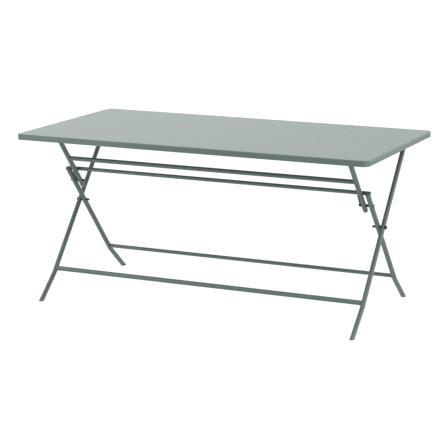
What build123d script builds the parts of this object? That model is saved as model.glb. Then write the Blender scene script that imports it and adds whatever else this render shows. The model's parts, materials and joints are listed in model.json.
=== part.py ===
from build123d import *
from math import atan2, cos, degrees, radians, sin, tan
import os

# Folding sheet-steel picnic table, millimetres, +Z up, front at -Y.
# Origin: on the ground under the middle of the tabletop.
# Four bodies: the tabletop, an outer frame hinged at its rear, an inner frame that
# crosses the outer one at a scissor pivot, and a link frame hinged at its front that
# carries the upper ends of the inner legs on two pins.

# ---- driving dimensions -------------------------------------------------------------
TOP_LENGTH = 1500.0
TOP_WIDTH = 800.0
TOP_HEIGHT = 702.0
SKIRT_DEPTH = 22.7
SHEET = 1.2
CORNER_RADIUS = 26.0
EDGE_RADIUS = 4.5
HEM_WIDTH = 8.0

OUTER_LEG_RADIUS = 9.5
OUTER_ROD_RADIUS = 8.5
LEG_RADIUS = 10.0
BAR_RADIUS = 8.0
CROSSBAR_RADIUS = 9.0
TUBE_WALL = 1.2
TUBE_BEND_RADIUS = 60.0

OUTER_X = 681.5
INNER_X = 660.5
LINK_X = 629.7

PIVOT_Y = -1.0
PIVOT_Z = 369.0
OUTER_TILT = 40.0
INNER_TILT = 40.8
OUTER_FOOT_KICK = 9.2
INNER_FOOT_KICK = 9.5
OUTER_BEND_Z = 94.5
INNER_BEND_Z = 105.0

HINGE_DEPTH = 30.0
PIN_ALONG = 132.8
STOP_ALONG = 187.3
INNER_TIP_Z = 526.0
LINK_TIP_PAST_PIN = 31.0
STUB_PAST_ROD = 5.0
STOP_GAP = 0.3

OUTER_STRETCHER_Z = 112.0
INNER_STRETCHER_Z = 121.0
LINK_CROSSBAR_Z = 577.6

BOLT_RADIUS = 4.0
PIVOT_CLEARANCE = 0.5
SADDLE_WASHER_RADIUS = 7.5
PIVOT_CAP_RADIUS = 7.5
PIVOT_CAP_HEIGHT = {"left": 2.2, "right": 6.5}
PIVOT_BOLT_PAST_LEG = {"left": 1.0, "right": 3.0}
PIVOT_CAP_DOME = 0.6
PIVOT_STUD_PAST_LEG = 6.0
CAP_NUT_RADIUS = 4.9
CAP_NUT_LENGTH = 13.0
CAP_NUT_DOME = 2.5
PIN_CAP_RADIUS = 7.0
PIN_CAP_HEIGHT = 1.1
PIN_CAP_DOME = 0.8
PIN_PAST_NUT_FACE = 4.0
PIN_PAST_LEG = 0.4
PIN_NUT_RADIUS = 5.6
PIN_NUT_LENGTH = 7.0
PIN_NUT_DOME = 2.2
SPACER_RADIUS = 5.6
SLEEVE_RADIUS = 5.6
SLEEVE_INSET = 0.2
PIN_RUNNING_CLEARANCE = 0.06
SIDE_GAP = 0.3
LUG_THICKNESS = 3.0
LUG_RADIUS = 7.3
LUG_HEAD_ASIDE = 3.2
LUG_HEAD_ALONG = 2.0

PLUG_LID = 1.5
PLUG_FLANGE = 2.5
PLUG_DEPTH = 16.0
TIP_STEM = 8.0
ROD_PAST_TUBE = 2.0
STOP_BAR_PAST_LEG_AXIS = 1.5
BELOW_GROUND = -20.0

CLIP_X = (-585.0, -195.0, 195.0, 585.0)
CLIP_WIDTH = 25.0
CLIP_THICKNESS = 2.0
CLIP_CLEARANCE = 0.08
CLIP_FLANGE = 15.0
BRACKET_LENGTH = 64.0
BRACKET_WIDTH = 40.0
BRACKET_FLANGE = 11.0
BRACKET_SHEET = 2.0
SCREW_RADIUS = 2.5
SCREW_HEAD_RADIUS = 4.6
SCREW_HEAD_HEIGHT = 2.8
SCREW_HEAD_FILLET = 1.2
SCREW_LENGTH = 11.0
SCREW_HOLE_LENGTH = 40.0
DRIVE_SLOT_LENGTH = 5.2
DRIVE_SLOT_WIDTH = 1.2
DRIVE_SLOT_DEPTH = 2.4

STIFFENER_Y = {"front": -215.0, "middle": -35.0, "rear": 150.0}
STIFFENER_LENGTH = 1220.0
STIFFENER_HEIGHT = 15.0
STIFFENER_CROWN = 24.0
STIFFENER_FLANGE = 10.0

# ---- points of the mechanism in the side view, as (y, z) -----------------------------
UNDERSIDE_Z = TOP_HEIGHT - SHEET
HINGE_Z = TOP_HEIGHT - HINGE_DEPTH
BRACKET_GAP = 0.2
LAP = 18.0


def along(start, angle, distance):
    """The point a distance along a line that leans back by angle from vertical."""
    return (start[0] + distance * sin(radians(angle)), start[1] + distance * cos(radians(angle)))


def aside(start, angle, distance):
    """The point a distance square to that line, on its rear side."""
    return (start[0] + distance * cos(radians(angle)), start[1] - distance * sin(radians(angle)))


def at_height(start, angle, z):
    return (start[0] + (z - start[1]) * tan(radians(angle)), z)


PIVOT = (PIVOT_Y, PIVOT_Z)
PIN = along(PIVOT, -INNER_TILT, PIN_ALONG)
LINK_LINE = aside(PIN, -INNER_TILT, -STOP_GAP)

# Every lap sets two tube axes 18 mm apart: 17 on 19 mm tube, or 16 on 20 mm tube.
# The hinge rods are lapped outside the tubes, on the side away from the middle.
OUTER_ROD = at_height(aside(PIVOT, OUTER_TILT, LAP), OUTER_TILT, HINGE_Z)
LINK_ROD = at_height(aside(LINK_LINE, -INNER_TILT, -LAP), -INNER_TILT, HINGE_Z)
OUTER_TOP = along(aside(OUTER_ROD, OUTER_TILT, -LAP), OUTER_TILT, STUB_PAST_ROD)
LINK_TOP = along(aside(LINK_ROD, -INNER_TILT, LAP), -INNER_TILT, STUB_PAST_ROD)
LINK_TIP = along(LINK_LINE, -INNER_TILT, -LINK_TIP_PAST_PIN)

OUTER_BEND = at_height(PIVOT, OUTER_TILT, OUTER_BEND_Z)
INNER_BEND = at_height(PIVOT, -INNER_TILT, INNER_BEND_Z)
INNER_TIP = at_height(PIVOT, -INNER_TILT, INNER_TIP_Z)
OUTER_STRETCHER = at_height(PIVOT, OUTER_TILT, OUTER_STRETCHER_Z)
INNER_STRETCHER = at_height(PIVOT, -INNER_TILT, INNER_STRETCHER_Z)
LINK_CROSSBAR = at_height(LINK_LINE, -INNER_TILT, LINK_CROSSBAR_Z)
STOP_BAR = aside(along(PIVOT, -INNER_TILT, STOP_ALONG), -INNER_TILT, LAP)
LUG_HEAD = aside(along(PIVOT, -INNER_TILT, STOP_ALONG + LUG_HEAD_ALONG), -INNER_TILT, LUG_HEAD_ASIDE)


# ---- general shapes -------------------------------------------------------------------
def tilt_of(low, high):
    return degrees(atan2(high[0] - low[0], high[1] - low[1]))


def rod(x, low, high, radius):
    """A solid round bar in the side plane at x, from low to high."""
    length = ((high[0] - low[0]) ** 2 + (high[1] - low[1]) ** 2) ** 0.5
    plane = Plane(origin=(x, *low), x_dir=(1, 0, 0), z_dir=(0, high[0] - low[0], high[1] - low[1]))
    return plane * Cylinder(radius, length, align=(Align.CENTER, Align.CENTER, Align.MIN))


def cross_rod(point, x0, x1, radius):
    """A solid round bar along X through a point of the side view."""
    plane = Plane(origin=(min(x0, x1), *point), x_dir=(0, 1, 0), z_dir=(1, 0, 0))
    return plane * Cylinder(radius, abs(x1 - x0), align=(Align.CENTER, Align.CENTER, Align.MIN))


def bent_bar(x, foot, bend, top, radius):
    """A solid round bar in the side plane at x, with one smooth bend."""
    corners = [(x, *foot), (x, *bend), (x, *top)]
    path = FilletPolyline(*corners, radius=TUBE_BEND_RADIUS)
    section = Plane(origin=path @ 0, x_dir=(1, 0, 0), z_dir=path % 0) * Circle(radius)
    return sweep(section, path)


def slab(z0, z1):
    """A block that keeps everything between two heights."""
    return Pos(0, 0, (z0 + z1) / 2) * Box(2 * TOP_LENGTH, 2 * TOP_WIDTH, z1 - z0)


def mirrored(shape):
    """The shape and its twin on the other side, as one group of separate solids."""
    return Compound(children=[shape, mirror(shape, Plane.YZ)])


def write(name, shape):
    shape.label = name
    export_step(shape, f"parts/{name}.step")


# ---- tabletop -------------------------------------------------------------------------
def pan_block(inset):
    """The outline of the pressed top, moved inwards by inset on every face."""
    length = TOP_LENGTH - 2 * inset
    width = TOP_WIDTH - 2 * inset
    height = SKIRT_DEPTH - inset
    sketch = Pos(0, 0, TOP_HEIGHT - SKIRT_DEPTH) * RectangleRounded(length, width, CORNER_RADIUS - inset)
    block = extrude(sketch, height)
    rim = block.faces().sort_by(Axis.Z)[-1].edges()
    return fillet(rim, EDGE_RADIUS - inset)


def tabletop_panel():
    pan = pan_block(0) - pan_block(SHEET)
    base = Pos(0, 0, TOP_HEIGHT - SKIRT_DEPTH)
    outer = RectangleRounded(TOP_LENGTH - SHEET, TOP_WIDTH - SHEET, CORNER_RADIUS - SHEET / 2)
    inner = RectangleRounded(TOP_LENGTH - 2 * HEM_WIDTH, TOP_WIDTH - 2 * HEM_WIDTH, CORNER_RADIUS - HEM_WIDTH)
    return pan + extrude(base * (outer - inner), SHEET)


def hat_profile(crown, height, flange, sheet):
    """A hat section that opens upwards, with its rims on the line y = 0."""
    half = crown / 2
    points = [
        (-half - flange, 0), (-half, 0), (-half, sheet - height), (half, sheet - height),
        (half, 0), (half + flange, 0), (half + flange, -sheet), (half + sheet, -sheet),
        (half + sheet, -height), (-half - sheet, -height), (-half - sheet, -sheet), (-half - flange, -sheet),
    ]
    return make_face(Polyline(*points, close=True))


def stiffener(y):
    profile = hat_profile(STIFFENER_CROWN, STIFFENER_HEIGHT, STIFFENER_FLANGE, SHEET)
    start = Plane(origin=(-STIFFENER_LENGTH / 2, y, UNDERSIDE_Z), x_dir=(0, 1, 0), z_dir=(1, 0, 0))
    return extrude(start * profile, STIFFENER_LENGTH)


def bracket_face_z(rod_radius):
    return HINGE_Z + rod_radius + BRACKET_GAP


def screw_points(rod_point, rod_radius):
    """The x, y places of the two screws of every clip on one hinge rod."""
    reach = rod_radius + CLIP_CLEARANCE + CLIP_THICKNESS + CLIP_FLANGE / 2
    return [(x, rod_point[0] + side * reach) for x in CLIP_X for side in (-1, 1)]


def screw_holes(rod_point, rod_radius):
    drill = Cylinder(SCREW_RADIUS, SCREW_HOLE_LENGTH)
    return [Pos(x, y, bracket_face_z(rod_radius)) * drill for x, y in screw_points(rod_point, rod_radius)]


def hinge_brackets(rod_point, rod_radius):
    """Pressed hat-section stand-offs, welded under the sheet, one for each clip."""
    height = UNDERSIDE_Z - bracket_face_z(rod_radius)
    profile = hat_profile(BRACKET_WIDTH, height, BRACKET_FLANGE, BRACKET_SHEET)
    brackets = []
    for x in CLIP_X:
        start = Plane(
            origin=(x, rod_point[0] + BRACKET_LENGTH / 2, UNDERSIDE_Z), x_dir=(1, 0, 0), z_dir=(0, -1, 0)
        )
        brackets.append(extrude(start * profile, BRACKET_LENGTH) - screw_holes(rod_point, rod_radius))
    return Compound(children=brackets)


def saddle_clips(rod_point, rod_radius):
    """Strap clips that hold a hinge rod against its brackets, with running clearance."""
    inner = rod_radius + CLIP_CLEARANCE
    outer = inner + CLIP_THICKNESS
    rise = bracket_face_z(rod_radius) - HINGE_Z
    span = 2 * (outer + CLIP_FLANGE)
    clips = []
    for x in CLIP_X:
        body = Circle(outer) & Pos(0, -outer) * Rectangle(2 * outer, 2 * outer)
        body += Pos(0, rise / 2) * Rectangle(2 * outer, rise)
        body += Pos(0, rise - CLIP_THICKNESS / 2) * Rectangle(span, CLIP_THICKNESS)
        body -= Circle(inner) + Pos(0, rise / 2) * Rectangle(2 * inner, rise)
        start = Plane(origin=(x - CLIP_WIDTH / 2, rod_point[0], HINGE_Z), x_dir=(0, 1, 0), z_dir=(1, 0, 0))
        clips.append(extrude(start * body, CLIP_WIDTH) - screw_holes(rod_point, rod_radius))
    return Compound(children=clips)


def clip_screws(rod_point, rod_radius):
    head_z = bracket_face_z(rod_radius) - CLIP_THICKNESS
    screws = []
    for x, y in screw_points(rod_point, rod_radius):
        head = Pos(x, y, head_z - SCREW_HEAD_HEIGHT) * Cylinder(
            SCREW_HEAD_RADIUS, SCREW_HEAD_HEIGHT, align=(Align.CENTER, Align.CENTER, Align.MIN)
        )
        head = fillet(head.faces().sort_by(Axis.Z)[0].edges(), SCREW_HEAD_FILLET)
        cross = Box(DRIVE_SLOT_LENGTH, DRIVE_SLOT_WIDTH, DRIVE_SLOT_DEPTH)
        cross += Box(DRIVE_SLOT_WIDTH, DRIVE_SLOT_LENGTH, DRIVE_SLOT_DEPTH)
        slot = Pos(x, y, head_z - SCREW_HEAD_HEIGHT) * cross
        shank = Pos(x, y, head_z) * Cylinder(
            SCREW_RADIUS, SCREW_LENGTH, align=(Align.CENTER, Align.CENTER, Align.MIN)
        )
        screws.append(head - slot + shank)
    return screws


# ---- tubes of the frames --------------------------------------------------------------
def outer_leg_bar(radius, x=OUTER_X):
    ground = at_height(OUTER_BEND, OUTER_TILT + OUTER_FOOT_KICK, BELOW_GROUND)
    return bent_bar(x, ground, OUTER_BEND, OUTER_TOP, radius)


def inner_leg_bar(radius, x=INNER_X):
    ground = at_height(INNER_BEND, -INNER_TILT - INNER_FOOT_KICK, BELOW_GROUND)
    return bent_bar(x, ground, INNER_BEND, INNER_TIP, radius)


def link_arm_bar(radius, x=LINK_X):
    return rod(x, LINK_TIP, LINK_TOP, radius)


def leg_tube(bar, radius, hole_points):
    """A leg from its solid bar: hollow, cut level above its foot plug, and drilled."""
    tube = (bar(radius) - bar(radius - TUBE_WALL)) & slab(PLUG_FLANGE, TOP_HEIGHT)
    for point in hole_points:
        tube -= cross_rod(point, INNER_X - 2 * LAP, OUTER_X + 2 * LAP, BOLT_RADIUS)
    return tube


def foot_plug(bar, radius):
    """A plastic foot: a flange as wide as the tube, and a stem inside it."""
    flange = bar(radius) & slab(0, PLUG_FLANGE)
    stem = bar(radius - TUBE_WALL) & slab(PLUG_FLANGE, PLUG_DEPTH)
    return flange + stem


def end_plug(end, towards, x, radius):
    """A plug for a tube end in the side plane: a thin lid and a stem inside the tube."""
    angle = tilt_of(towards, end)
    lid_end = along(end, angle, PLUG_LID)
    stem_end = along(end, angle, PLUG_LID - PLUG_DEPTH)
    lid = rod(x, end, lid_end, radius)
    return lid + rod(x, stem_end, end, radius - TUBE_WALL)


def bar_end_plugs(point, half_length, radius):
    """Plugs for both ends of a bar along X."""
    lid = cross_rod(point, half_length, half_length + PLUG_LID, radius)
    stem = cross_rod(point, half_length + PLUG_LID - PLUG_DEPTH, half_length, radius - TUBE_WALL)
    return mirrored(lid + stem)


def cross_tube(point, half_length, radius, cut_by=()):
    """A hollow bar along X, coped where it meets the solid bars given."""
    tube = cross_rod(point, -half_length, half_length, radius)
    tube -= cross_rod(point, -half_length - 1, half_length + 1, radius - TUBE_WALL)
    for shape in cut_by:
        tube -= shape
    return tube


def both(bar, radius, x):
    return [bar(radius, -x), bar(radius, x)]


def link_arm():
    tube = link_arm_bar(LEG_RADIUS) - link_arm_bar(LEG_RADIUS - TUBE_WALL)
    return tube - cross_rod(PIN, LINK_X - LAP, LINK_X + LAP, SLEEVE_RADIUS)


def link_tip_cap():
    """The domed end of a link arm, with a stem inside the tube."""
    dome = Pos(LINK_X, *LINK_TIP) * Sphere(LEG_RADIUS)
    stem_top = along(LINK_TIP, -INNER_TILT, TIP_STEM)
    arm_side = rod(LINK_X, LINK_TIP, LINK_TOP, 2 * LEG_RADIUS)
    return dome - arm_side + rod(LINK_X, LINK_TIP, stem_top, LEG_RADIUS - TUBE_WALL)


# ---- hardware of the scissor pivot, which is split between the two frames -----------------
PIVOT_MID_X = (OUTER_X - OUTER_LEG_RADIUS + INNER_X + LEG_RADIUS) / 2


def domed(point, x0, x1, radius, dome):
    """A round cap along X from x0 to its domed face at x1."""
    cap = cross_rod(point, x0, x1, radius)
    faces = cap.faces().sort_by(Axis.X)
    face = faces[-1] if x1 > x0 else faces[0]
    return fillet(face.edges(), dome)


def pivot_bolt(side):
    inner_end = PIVOT_MID_X + PIVOT_CLEARANCE / 2
    outer_end = OUTER_X + OUTER_LEG_RADIUS + PIVOT_BOLT_PAST_LEG[side]
    return cross_rod(PIVOT, inner_end, outer_end, BOLT_RADIUS)


def pivot_stud():
    outer_end = PIVOT_MID_X - PIVOT_CLEARANCE / 2
    return cross_rod(PIVOT, INNER_X - LEG_RADIUS - PIVOT_STUD_PAST_LEG, outer_end, BOLT_RADIUS)


def pivot_cap(side):
    """The cap over a bolt head: flat on the left-hand leg, domed on the right-hand one."""
    height = PIVOT_CAP_HEIGHT[side]
    end = OUTER_X + OUTER_LEG_RADIUS + height
    cap = domed(PIVOT, OUTER_X, end, PIVOT_CAP_RADIUS, PIVOT_CAP_DOME * height)
    return cap - outer_leg_bar(OUTER_LEG_RADIUS) - pivot_bolt(side)


def pivot_nut():
    end = INNER_X - LEG_RADIUS - CAP_NUT_LENGTH
    nut = domed(PIVOT, INNER_X, end, CAP_NUT_RADIUS, CAP_NUT_DOME)
    return nut - inner_leg_bar(LEG_RADIUS) - pivot_stud()


def pivot_washer(x_leg, leg):
    side = 1 if x_leg > PIVOT_MID_X else -1
    face = PIVOT_MID_X + side * PIVOT_CLEARANCE / 2
    ring = cross_rod(PIVOT, face, x_leg, SADDLE_WASHER_RADIUS)
    ring -= cross_rod(PIVOT, face - LAP, x_leg + LAP, BOLT_RADIUS)
    return ring - leg


# ---- hardware of the link pins, all carried by the inner frame ------------------------------
# Both lug plates lie on the left side of their link arm, so the left plate stands between
# the arm and the inner leg, and the right plate stands on the inner side of the arm.
ARM_OUTER_FACE = LINK_X + LEG_RADIUS
ARM_INNER_FACE = LINK_X - LEG_RADIUS
LEFT_LUG_FACE = ARM_OUTER_FACE + SIDE_GAP
RIGHT_LUG_FACE = ARM_INNER_FACE - SIDE_GAP - LUG_THICKNESS
NUT_FACE = {"left": ARM_INNER_FACE - SIDE_GAP, "right": RIGHT_LUG_FACE}
SPACER_FACE = {"left": LEFT_LUG_FACE + LUG_THICKNESS, "right": ARM_OUTER_FACE + SIDE_GAP}
LUG_FACE = {"left": LEFT_LUG_FACE, "right": RIGHT_LUG_FACE}


def on_side(side, shape):
    """A shape drawn for the right-hand side, moved to the side it belongs to."""
    return shape if side == "right" else mirror(shape, Plane.YZ)


def lug_plate(side):
    """A flat plate beside a link arm, from the stop bar to the pin."""
    face = LUG_FACE[side]
    start = Plane(origin=(face, 0, 0), x_dir=(0, 1, 0), z_dir=(1, 0, 0))
    eye = Pos(*PIN) * Circle(LUG_RADIUS)
    head = Pos(*LUG_HEAD) * Circle(LUG_RADIUS)
    outline = make_hull(eye.edges() + head.edges())
    plate = extrude(start * outline, LUG_THICKNESS)
    plate -= cross_rod(STOP_BAR, face - 1, face + LUG_THICKNESS + 1, BAR_RADIUS)
    return plate - cross_rod(PIN, face - 1, face + LUG_THICKNESS + 1, BOLT_RADIUS)


def link_pin(side):
    outer_end = INNER_X + LEG_RADIUS + PIN_PAST_LEG
    return cross_rod(PIN, NUT_FACE[side] - PIN_PAST_NUT_FACE, outer_end, BOLT_RADIUS)


def link_pin_cap():
    end = INNER_X + LEG_RADIUS + PIN_CAP_HEIGHT
    cap = domed(PIN, INNER_X, end, PIN_CAP_RADIUS, PIN_CAP_DOME)
    return cap - inner_leg_bar(LEG_RADIUS) - link_pin("right")


def link_pin_nut(side):
    end = NUT_FACE[side] - PIN_NUT_LENGTH
    return domed(PIN, NUT_FACE[side], end, PIN_NUT_RADIUS, PIN_NUT_DOME) - link_pin(side)


def link_spacer(side):
    tube = cross_rod(PIN, SPACER_FACE[side], INNER_X, SPACER_RADIUS)
    return tube - link_pin(side) - inner_leg_bar(LEG_RADIUS)


def link_sleeve():
    tube = cross_rod(PIN, ARM_INNER_FACE + SLEEVE_INSET, ARM_OUTER_FACE - SLEEVE_INSET, SLEEVE_RADIUS)
    return tube - cross_rod(PIN, LINK_X - LAP, LINK_X + LAP, BOLT_RADIUS + PIN_RUNNING_CLEARANCE)


# ---- build every node -----------------------------------------------------------------------
os.makedirs("parts", exist_ok=True)

write("tabletop_panel", tabletop_panel())
for place, y in STIFFENER_Y.items():
    write(f"stiffener_{place}", stiffener(y))
for place, hinge_rod in {"rear": (OUTER_ROD, OUTER_ROD_RADIUS), "front": (LINK_ROD, BAR_RADIUS)}.items():
    write(f"hinge_brackets_{place}", hinge_brackets(*hinge_rod))
    write(f"saddle_clips_{place}", saddle_clips(*hinge_rod))
rear_screws = clip_screws(OUTER_ROD, OUTER_ROD_RADIUS)
write("clip_screws", Compound(children=rear_screws + clip_screws(LINK_ROD, BAR_RADIUS)))

outer_leg = leg_tube(outer_leg_bar, OUTER_LEG_RADIUS, [PIVOT])
inner_leg = leg_tube(inner_leg_bar, LEG_RADIUS, [PIVOT, PIN])
for side in ("left", "right"):
    write(f"outer_leg_{side}", on_side(side, outer_leg))
    write(f"inner_leg_{side}", on_side(side, inner_leg))
    write(f"link_arm_{side}", on_side(side, link_arm()))
    write(f"lug_plate_{side}", on_side(side, lug_plate(side)))
    write(f"link_pin_{side}", on_side(side, link_pin(side)))
    write(f"link_spacer_{side}", on_side(side, link_spacer(side)))
    write(f"pivot_bolt_{side}", on_side(side, pivot_bolt(side)))
    write(f"pivot_cap_{side}", on_side(side, pivot_cap(side)))

OUTER_ROD_HALF = OUTER_X + OUTER_LEG_RADIUS + ROD_PAST_TUBE
LINK_ROD_HALF = LINK_X + LEG_RADIUS + ROD_PAST_TUBE
STOP_BAR_HALF = INNER_X + STOP_BAR_PAST_LEG_AXIS
outer_legs = both(outer_leg_bar, OUTER_LEG_RADIUS, OUTER_X)
inner_legs = both(inner_leg_bar, LEG_RADIUS, INNER_X)
link_arms = both(link_arm_bar, LEG_RADIUS, LINK_X)
write("outer_hinge_rod", cross_tube(OUTER_ROD, OUTER_ROD_HALF, OUTER_ROD_RADIUS))
write("outer_stretcher", cross_tube(OUTER_STRETCHER, OUTER_X, OUTER_LEG_RADIUS, outer_legs))
write("inner_stretcher", cross_tube(INNER_STRETCHER, INNER_X, BAR_RADIUS, inner_legs))
write("stop_bar", cross_tube(STOP_BAR, STOP_BAR_HALF, BAR_RADIUS))
write("link_hinge_rod", cross_tube(LINK_ROD, LINK_ROD_HALF, BAR_RADIUS))
write("link_crossbar", cross_tube(LINK_CROSSBAR, LINK_X, CROSSBAR_RADIUS, link_arms))

write("outer_foot_plugs", mirrored(foot_plug(outer_leg_bar, OUTER_LEG_RADIUS)))
write("inner_foot_plugs", mirrored(foot_plug(inner_leg_bar, LEG_RADIUS)))
write("outer_leg_top_plugs", mirrored(end_plug(OUTER_TOP, PIVOT, OUTER_X, OUTER_LEG_RADIUS)))
write("inner_leg_tip_plugs", mirrored(end_plug(INNER_TIP, PIVOT, INNER_X, LEG_RADIUS)))
write("link_arm_top_plugs", mirrored(end_plug(LINK_TOP, LINK_TIP, LINK_X, LEG_RADIUS)))
write("link_arm_tip_caps", mirrored(link_tip_cap()))
write("outer_rod_plugs", bar_end_plugs(OUTER_ROD, OUTER_ROD_HALF, OUTER_ROD_RADIUS))
write("link_rod_plugs", bar_end_plugs(LINK_ROD, LINK_ROD_HALF, BAR_RADIUS))
write("stop_bar_plugs", bar_end_plugs(STOP_BAR, STOP_BAR_HALF, BAR_RADIUS))

write("pivot_outer_washers", mirrored(pivot_washer(OUTER_X, outer_legs[1])))
write("pivot_studs", mirrored(pivot_stud()))
write("pivot_nuts", mirrored(pivot_nut()))
write("pivot_inner_washers", mirrored(pivot_washer(INNER_X, inner_legs[1])))

write("link_pin_caps", mirrored(link_pin_cap()))
pin_nuts = [on_side(side, link_pin_nut(side)) for side in ("left", "right")]
write("link_pin_nuts", Compound(children=pin_nuts))
write("link_sleeves", mirrored(link_sleeve()))
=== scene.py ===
import json
import math

import bmesh
import bpy
from mathutils import Matrix, Vector


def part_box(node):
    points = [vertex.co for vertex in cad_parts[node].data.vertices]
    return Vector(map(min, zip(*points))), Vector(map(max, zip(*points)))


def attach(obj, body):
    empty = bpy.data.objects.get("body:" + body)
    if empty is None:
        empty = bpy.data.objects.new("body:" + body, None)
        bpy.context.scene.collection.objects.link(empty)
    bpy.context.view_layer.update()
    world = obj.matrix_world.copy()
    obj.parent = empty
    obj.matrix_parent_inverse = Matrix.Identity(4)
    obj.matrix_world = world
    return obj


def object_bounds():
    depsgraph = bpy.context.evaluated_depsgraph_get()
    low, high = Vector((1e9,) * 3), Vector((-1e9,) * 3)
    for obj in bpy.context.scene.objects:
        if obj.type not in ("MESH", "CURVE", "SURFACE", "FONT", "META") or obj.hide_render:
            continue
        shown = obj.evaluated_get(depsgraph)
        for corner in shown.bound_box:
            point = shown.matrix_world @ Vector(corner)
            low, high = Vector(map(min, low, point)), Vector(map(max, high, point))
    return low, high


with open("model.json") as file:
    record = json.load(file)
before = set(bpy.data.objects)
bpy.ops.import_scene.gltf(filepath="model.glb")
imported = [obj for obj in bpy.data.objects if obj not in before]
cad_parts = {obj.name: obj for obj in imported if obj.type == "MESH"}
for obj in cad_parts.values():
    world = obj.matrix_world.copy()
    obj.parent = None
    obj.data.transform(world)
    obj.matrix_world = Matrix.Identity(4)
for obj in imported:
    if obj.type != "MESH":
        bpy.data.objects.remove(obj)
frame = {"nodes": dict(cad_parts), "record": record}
cad_low, cad_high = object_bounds()


# ---------------------------------------------------------------- materials

# Widths of the worn band along sharp edges, in metres, and the samples that find it.
PAINT_EDGE_WIDTH = 0.0012
PLASTIC_EDGE_WIDTH = 0.0006
BEVEL_SAMPLES = 4

# How much paler the plastic is where it is rubbed, and how far its roughness drifts.
RUBBED_GAIN = 1.5
PLASTIC_GLOSS_DRIFT = 0.05

# How far the rounded normal agrees with the surface's own, on open faces and on sharp edges.
OPEN_FACE = 0.97
SHARP_EDGE = 0.80

# The ends of the range that most of a noise field's values lie in.
NOISE_LOW = 0.3
NOISE_HIGH = 0.7

# Where along the noise the paint's mottling is fully dark and fully pale.
MOTTLE_DARK_AT = 0.32
MOTTLE_PALE_AT = 0.68

ZINC_DARK = (0.42, 0.43, 0.44)
ZINC_PALE = (0.62, 0.63, 0.64)


def new_material(name):
    material = bpy.data.materials.new(name)
    material.use_nodes = True
    return material, material.node_tree.nodes, material.node_tree.links


def noise(nodes, links, scale, detail):
    """A noise field fixed to the piece itself, its scale in waves per metre."""
    place = nodes.new("ShaderNodeTexCoord")
    field = nodes.new("ShaderNodeTexNoise")
    field.inputs["Scale"].default_value = scale
    field.inputs["Detail"].default_value = detail
    links.new(place.outputs["Object"], field.inputs["Vector"])
    return field.outputs["Fac"]


def ramp(nodes, links, source, stops):
    """Turns a number into colour through (position, colour) stops."""
    tone = nodes.new("ShaderNodeValToRGB")
    for element, (position, colour) in zip(tone.color_ramp.elements, stops):
        element.position = position
        element.color = (*colour, 1)
    links.new(source, tone.inputs["Fac"])
    return tone.outputs["Color"]


def spread(nodes, links, source, low, high):
    """Stretches a noise field's usual range onto low to high."""
    stretch = nodes.new("ShaderNodeMapRange")
    stretch.inputs["From Min"].default_value = NOISE_LOW
    stretch.inputs["From Max"].default_value = NOISE_HIGH
    stretch.inputs["To Min"].default_value = low
    stretch.inputs["To Max"].default_value = high
    links.new(source, stretch.inputs["Value"])
    return stretch.outputs["Result"]


def edge_mask(nodes, links, radius):
    """0 on open faces, rising to 1 on sharp corners and rims."""
    rounded = nodes.new("ShaderNodeBevel")
    rounded.samples = BEVEL_SAMPLES
    rounded.inputs["Radius"].default_value = radius
    surface = nodes.new("ShaderNodeNewGeometry")
    agree = nodes.new("ShaderNodeVectorMath")
    agree.operation = "DOT_PRODUCT"
    links.new(rounded.outputs["Normal"], agree.inputs[0])
    links.new(surface.outputs["Normal"], agree.inputs[1])
    mask = nodes.new("ShaderNodeMapRange")
    mask.inputs["From Min"].default_value = OPEN_FACE
    mask.inputs["From Max"].default_value = SHARP_EDGE
    links.new(agree.outputs["Value"], mask.inputs["Value"])
    return mask.outputs["Result"]


def blend_colour(nodes, links, amount, base, over):
    mix = nodes.new("ShaderNodeMix")
    mix.data_type = "RGBA"
    links.new(amount, mix.inputs["Factor"])
    links.new(base, mix.inputs["A"])
    mix.inputs["B"].default_value = (*over, 1)
    return mix.outputs["Result"]


def bump(nodes, links, height, distance, strength):
    relief = nodes.new("ShaderNodeBump")
    relief.inputs["Strength"].default_value = strength
    relief.inputs["Distance"].default_value = distance
    links.new(height, relief.inputs["Height"])
    return relief.outputs["Normal"]


def painted_metal(name, dark, pale, edge_colour):
    """Satin paint on steel: orange-peel skin, faint mottling, thin paint on sharp edges."""
    material, nodes, links = new_material(name)
    shader = nodes["Principled BSDF"]
    clouds = noise(nodes, links, scale=5.0, detail=6.0)
    tone = ramp(nodes, links, clouds, [(MOTTLE_DARK_AT, dark), (MOTTLE_PALE_AT, pale)])
    edges = edge_mask(nodes, links, PAINT_EDGE_WIDTH)
    worn = blend_colour(nodes, links, edges, tone, edge_colour)
    links.new(worn, shader.inputs["Base Color"])
    patches = noise(nodes, links, scale=40.0, detail=4.0)
    links.new(spread(nodes, links, patches, low=0.285, high=0.325), shader.inputs["Roughness"])
    peel = noise(nodes, links, scale=700.0, detail=3.0)
    links.new(bump(nodes, links, peel, distance=0.0003, strength=0.06), shader.inputs["Normal"])
    return material


def moulded_plastic(name, dark, pale, roughness):
    """Moulded plastic with a faint spark-eroded grain and slightly rubbed edges."""
    material, nodes, links = new_material(name)
    shader = nodes["Principled BSDF"]
    mottle = noise(nodes, links, scale=160.0, detail=3.0)
    tone = ramp(nodes, links, mottle, [(NOISE_LOW, dark), (NOISE_HIGH, pale)])
    rubbed = tuple(RUBBED_GAIN * part for part in pale)
    edges = edge_mask(nodes, links, PLASTIC_EDGE_WIDTH)
    links.new(blend_colour(nodes, links, edges, tone, rubbed), shader.inputs["Base Color"])
    patches = noise(nodes, links, scale=90.0, detail=2.0)
    glossy, matt = roughness - PLASTIC_GLOSS_DRIFT, roughness + PLASTIC_GLOSS_DRIFT
    links.new(spread(nodes, links, patches, low=glossy, high=matt), shader.inputs["Roughness"])
    grain = noise(nodes, links, scale=1500.0, detail=2.0)
    links.new(bump(nodes, links, grain, distance=0.0002, strength=0.15), shader.inputs["Normal"])
    return material


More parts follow.
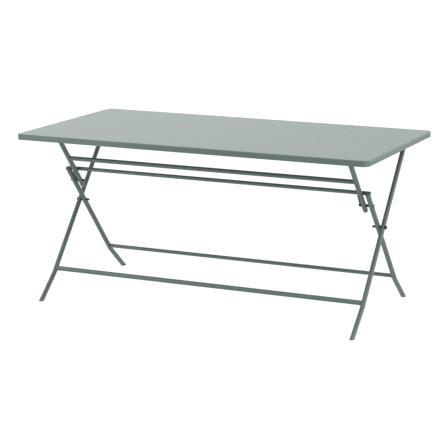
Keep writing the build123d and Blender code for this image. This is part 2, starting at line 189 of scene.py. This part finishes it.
def zinc_plate():
    """Bright zinc plating with a fine crystalline mottle."""
    material, nodes, links = new_material("bright_zinc_plate")
    shader = nodes["Principled BSDF"]
    mottle = noise(nodes, links, scale=350.0, detail=4.0)
    tone = ramp(nodes, links, mottle, [(NOISE_LOW, ZINC_DARK), (NOISE_HIGH, ZINC_PALE)])
    links.new(tone, shader.inputs["Base Color"])
    links.new(spread(nodes, links, mottle, low=0.25, high=0.45), shader.inputs["Roughness"])
    grain = noise(nodes, links, scale=1200.0, detail=2.0)
    links.new(bump(nodes, links, grain, distance=0.0002, strength=0.10), shader.inputs["Normal"])
    shader.inputs["Metallic"].default_value = 1.0
    return material


MATERIALS = {
    "powder_coat": painted_metal(
        "satin_powder_coat", (0.114, 0.160, 0.140), (0.123, 0.171, 0.150), (0.16, 0.21, 0.19)
    ),
    "end_plug_plastic": moulded_plastic(
        "dark_green_plugs", (0.040, 0.055, 0.050), (0.055, 0.072, 0.066), roughness=0.5
    ),
    "black_nylon": moulded_plastic(
        "black_nylon_parts", (0.012, 0.012, 0.012), (0.020, 0.020, 0.020), roughness=0.42
    ),
    # The lug plates' near-black is partly their own black paint and partly painted shade, standing in for
    # the shadow beside the link arms.
    "black_paint": painted_metal(
        "black_paint_and_painted_shade_on_steel", (0.010, 0.010, 0.010), (0.014, 0.014, 0.014), (0.05, 0.05, 0.05)
    ),
    "zinc_steel": zinc_plate(),
}
SLOT_OF = {row["node"]: row["material_slot"] for row in frame["record"]["subparts"]}


def dress(piece, slot):
    piece.data.materials.clear()
    piece.data.materials.append(MATERIALS[slot])


for name, node in frame["nodes"].items():
    dress(node, SLOT_OF[name])
for material in list(bpy.data.materials):
    if material.users == 0:
        bpy.data.materials.remove(material)


# ---------------------------------------------------------------- weld beads
# Each welded joint between two tubes gets a bead: a thin ripple of filler round a coped
# joint, and a small ring round the touching point where two tubes only lap.

BEAD_RADIUS = 0.0017
RIPPLE = 0.16
BEAD_SIDES = 8
COPED_STEPS = 48
COPED_RIPPLES = 17
LAP_STEPS = 32
LAP_RIPPLES = 10


def bead_mesh(path, ripples):
    """A closed bead along a ring of points, with the even ripples of a weld."""
    mesh = bmesh.new()
    rings = []
    count = len(path)
    for index, point in enumerate(path):
        ahead = (path[(index + 1) % count] - path[index - 1]).normalized()
        if index == 0:
            across = ahead.orthogonal().normalized()
        else:
            across = (across - ahead * across.dot(ahead)).normalized()
        upward = ahead.cross(across)
        swell = BEAD_RADIUS * (1 + RIPPLE * math.sin(2 * math.pi * ripples * index / count))
        ring = []
        for side in range(BEAD_SIDES):
            turn = 2 * math.pi * side / BEAD_SIDES
            ring.append(mesh.verts.new(point + swell * (math.cos(turn) * across + math.sin(turn) * upward)))
        rings.append(ring)
    for index in range(count):
        here, there = rings[index], rings[(index + 1) % count]
        shift = 0
        if index == count - 1:
            shift = min(range(BEAD_SIDES), key=lambda step: (here[0].co - there[step].co).length)
        for side in range(BEAD_SIDES):
            after = (side + 1) % BEAD_SIDES
            far_side = (side + shift) % BEAD_SIDES
            far_after = (after + shift) % BEAD_SIDES
            mesh.faces.new((here[side], here[after], there[far_after], there[far_side]))
    bmesh.ops.recalc_face_normals(mesh, faces=mesh.faces)
    return mesh


def add_bead(name, body, paths, ripples):
    """One piece holding the same bead on the left and on the right."""
    whole = bmesh.new()
    data = bpy.data.meshes.new(name)
    for path in paths:
        mesh = bead_mesh(path, ripples)
        mesh.to_mesh(data)
        mesh.free()
        whole.from_mesh(data)
    whole.to_mesh(data)
    whole.free()
    for face in data.polygons:
        face.use_smooth = True
    piece = bpy.data.objects.new(name, data)
    bpy.context.scene.collection.objects.link(piece)
    dress(piece, "powder_coat")
    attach(piece, body)


def centre(node):
    low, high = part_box(node)
    return (Vector(low) + Vector(high)) / 2


def half_size(node):
    low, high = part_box(node)
    return (Vector(high) - Vector(low)) / 2


def tilt_direction(degrees_back):
    """The direction up a leg that leans back by this many degrees, in the side view."""
    lean = math.radians(degrees_back)
    return Vector((0, math.sin(lean), math.cos(lean)))


def coped_paths(bar, leg, leg_radius, direction):
    """The rings where a bar along X runs into the flank of a leg on each side."""
    middle = centre(bar)
    bar_radius = half_size(bar).z
    leg_x = abs(centre(leg).x)
    square = Vector((0, direction.z, -direction.y))
    paths = []
    for side in (-1, 1):
        path = []
        for step in range(COPED_STEPS):
            turn = 2 * math.pi * step / COPED_STEPS
            off_axis = bar_radius * math.sin(turn)
            reach = math.sqrt(max(leg_radius ** 2 - off_axis ** 2, 0.0))
            point = Vector((side * (leg_x - reach), middle.y, middle.z))
            path.append(point + bar_radius * math.cos(turn) * direction + off_axis * square)
        paths.append(path)
    return paths


def lap_paths(bar, leg, bar_radius, away, ring_radius):
    """The rings round the points where a bar along X lies against each leg.

    Each ring follows the saddle halfway between the two tubes' surfaces.
    """
    middle = centre(bar)
    leg_x = abs(centre(leg).x)
    along = Vector((0, -away.z, away.y))
    saddle = ring_radius ** 2 / (4 * bar_radius)
    paths = []
    for side in (-1, 1):
        touch = Vector((side * leg_x, middle.y, middle.z)) - bar_radius * away
        path = []
        for step in range(LAP_STEPS):
            turn = 2 * math.pi * step / LAP_STEPS
            lift = saddle * math.cos(2 * turn)
            flat = ring_radius * (math.cos(turn) * Vector((1, 0, 0)) + math.sin(turn) * along)
            path.append(touch + flat - lift * away)
        paths.append(path)
    return paths


# Leans of the two leg frames, in degrees.
OUTER_TILT = 40.0
INNER_TILT = -40.8

# Radii of the tubes and of the lapped beads' rings, in metres.
OUTER_TUBE = 0.0095
INNER_TUBE = 0.010
OUTER_ROD = 0.0085
THIN_ROD = 0.008
LAP_RING = 0.0055

outer_up = tilt_direction(OUTER_TILT)
inner_up = tilt_direction(INNER_TILT)
outer_rear = Vector((0, outer_up.z, -outer_up.y))
inner_rear = Vector((0, inner_up.z, -inner_up.y))

# (bar, leg that it runs into, body, radius of the leg, direction up the leg)
COPED_WELDS = (
    ("outer_stretcher", "outer_leg_right", "outer_frame", OUTER_TUBE, outer_up),
    ("inner_stretcher", "inner_leg_right", "inner_frame", INNER_TUBE, inner_up),
    ("link_crossbar", "link_arm_right", "link_frame", INNER_TUBE, inner_up),
)

# (bar, leg that it lies against, body, radius of the bar, direction from the leg to the bar)
LAP_WELDS = (
    ("outer_hinge_rod", "outer_leg_right", "outer_frame", OUTER_ROD, outer_rear),
    ("link_hinge_rod", "link_arm_right", "link_frame", THIN_ROD, -inner_rear),
    ("stop_bar", "inner_leg_right", "inner_frame", THIN_ROD, inner_rear),
)
for bar, leg, body, leg_radius, up in COPED_WELDS:
    add_bead("weld_" + bar, body, coped_paths(bar, leg, leg_radius, up), COPED_RIPPLES)
for bar, leg, body, bar_radius, away in LAP_WELDS:
    add_bead("weld_" + bar, body, lap_paths(bar, leg, bar_radius, away, LAP_RING), LAP_RIPPLES)


# ---------------------------------------------------------------- studio

CAMERA_PLACE = (2.68101, -5.99237, 1.75216)
CAMERA_YAW = math.radians(24.157)
CAMERA_PITCH = math.radians(12.309)
CAMERA_ROLL = math.radians(0.146)
CAMERA_LENS = 131.06
CAMERA_SENSOR = 36.0
CAMERA_REACH = 60.0

FLOOR_SIZE = 60.0
FLOOR_TONE = 0.10
SEEN_GLOW = 1.0
BOUNCE_GLOW = 0.68
BOUNCE_BELOW = 0.0005


def add_camera():
    data = bpy.data.cameras.new("camera")
    data.lens = CAMERA_LENS
    data.sensor_width = CAMERA_SENSOR
    data.clip_end = CAMERA_REACH
    camera = bpy.data.objects.new("camera", data)
    turn = Matrix.Rotation(CAMERA_YAW, 4, "Z") @ Matrix.Rotation(math.pi / 2 - CAMERA_PITCH, 4, "X")
    camera.matrix_world = Matrix.Translation(CAMERA_PLACE) @ turn @ Matrix.Rotation(CAMERA_ROLL, 4, "Z")
    bpy.context.scene.collection.objects.link(camera)
    bpy.context.scene.camera = camera


def add_floor(name, below, glow):
    """A wide pale sheet that glows evenly, like a lit studio sweep."""
    bpy.ops.mesh.primitive_plane_add(size=FLOOR_SIZE, location=(0, 0, cad_low.z - below))
    floor = bpy.context.object
    floor.name = name
    material, nodes, links = new_material(name)
    shader = nodes["Principled BSDF"]
    shader.inputs["Base Color"].default_value = (FLOOR_TONE, FLOOR_TONE, FLOOR_TONE, 1)
    shader.inputs["Roughness"].default_value = 1.0
    shader.inputs["Specular IOR Level"].default_value = 0.0
    shader.inputs["Emission Color"].default_value = (1, 1, 1, 1)
    shader.inputs["Emission Strength"].default_value = glow
    floor.data.materials.append(material)
    return floor


def add_softbox(name, place, aim, size, watts):
    data = bpy.data.lights.new(name, "AREA")
    data.shape = "DISK"
    data.size = size
    data.energy = watts
    light = bpy.data.objects.new(name, data)
    light.location = place
    light.rotation_mode = "QUATERNION"
    light.rotation_quaternion = (Vector(aim) - Vector(place)).to_track_quat("-Z", "Y")
    bpy.context.scene.collection.objects.link(light)


# Soft lights all round the room: (degrees up, degrees round from +X towards +Y, strength).
SOFT_LIGHTS = (
    (90, 0, 0.6),
    (15, 45, 2.3),
    (15, 90, 0.65),
    (15, 135, 1.35),
    (15, 225, 0.5),
    (45, 0, 1.2),
    (45, 225, 1.5),
    (45, 315, 0.2),
)
SOFTNESS = 6.0
ROOM_TINT = (0.96, 1.0, 0.99)

# Round softboxes: (name, place, point aimed at, diameter, watts).
SOFTBOXES = (
    ("low_right", (3.2, -1.4, 0.0), (0.6, 0.0, 0.35), 3.0, 50.0),
    ("front_left", (-2.0, -2.4, 0.9), (-0.6, -0.3, 0.4), 1.6, 14.0),
)


def light_world():
    """A dark room with wide soft lights, each fading away from its own middle."""
    world = bpy.data.worlds.new("studio")
    world.use_nodes = True
    nodes, links = world.node_tree.nodes, world.node_tree.links
    direction = nodes.new("ShaderNodeTexCoord").outputs["Generated"]
    total = None
    for up, around, strength in SOFT_LIGHTS:
        rise, turn = math.radians(up), math.radians(around)
        facing = nodes.new("ShaderNodeVectorMath")
        facing.operation = "DOT_PRODUCT"
        facing.inputs[1].default_value = (
            math.cos(turn) * math.cos(rise), math.sin(turn) * math.cos(rise), math.sin(rise)
        )
        links.new(direction, facing.inputs[0])
        front = nodes.new("ShaderNodeMath")
        front.operation = "MAXIMUM"
        front.inputs[1].default_value = 0.0
        links.new(facing.outputs["Value"], front.inputs[0])
        glow = nodes.new("ShaderNodeMath")
        glow.operation = "POWER"
        glow.inputs[1].default_value = SOFTNESS
        links.new(front.outputs["Value"], glow.inputs[0])
        scaled = nodes.new("ShaderNodeMath")
        scaled.operation = "MULTIPLY_ADD"
        scaled.inputs[1].default_value = strength
        links.new(glow.outputs["Value"], scaled.inputs[0])
        if total is None:
            scaled.inputs[2].default_value = 0.0
        else:
            links.new(total, scaled.inputs[2])
        total = scaled.outputs["Value"]
    nodes["Background"].inputs["Color"].default_value = (*ROOM_TINT, 1)
    links.new(total, nodes["Background"].inputs["Strength"])
    bpy.context.scene.world = world


add_camera()
seen_floor = add_floor("floor", 0.0, SEEN_GLOW)
seen_floor.visible_diffuse = False
seen_floor.visible_glossy = False
bounce_floor = add_floor("floor_bounce", BOUNCE_BELOW, BOUNCE_GLOW)
bounce_floor.visible_camera = False
light_world()
for softbox in SOFTBOXES:
    add_softbox(*softbox)
bpy.context.scene.view_settings.view_transform = "Standard"
